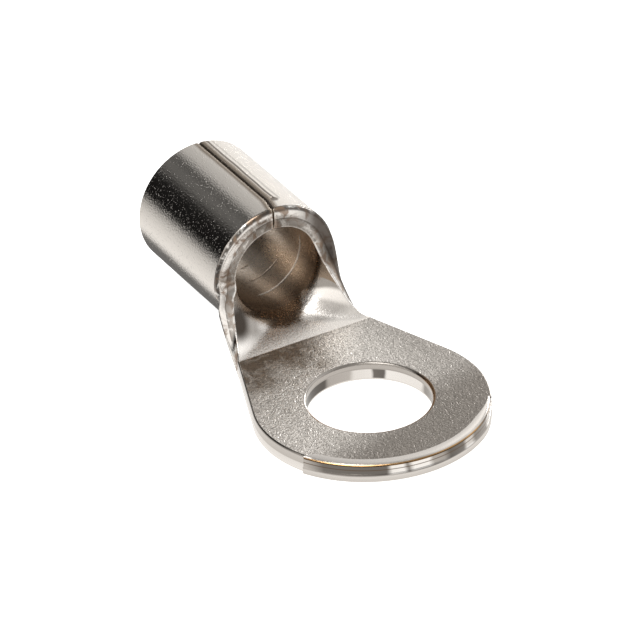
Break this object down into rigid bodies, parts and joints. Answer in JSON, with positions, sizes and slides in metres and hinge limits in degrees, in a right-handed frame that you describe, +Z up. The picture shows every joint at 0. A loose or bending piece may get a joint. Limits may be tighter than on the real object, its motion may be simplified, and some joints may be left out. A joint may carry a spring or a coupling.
{
  "type": "ring terminal",
  "caption": "Ring terminal of plated copper: a flat ring for a stud on a neck that opens into a rolled, seamed crimp barrel for a cable conductor.",
  "frame": {"origin": "centre of the stud hole, on the underside of the tongue", "axes": "+X towards the front of the ring, the barrel lies towards -X, +Z up out of the tongue's upper face, where the barrel's seam is"},
  "size_m": [0.0235, 0.012, 0.0074],
  "materials": {
    "plated_copper": "satin tin plating over stamped copper"
  },
  "bodies": {
    "root": {"terminal_body": "plated_copper"}
  },
  "joints": []
}
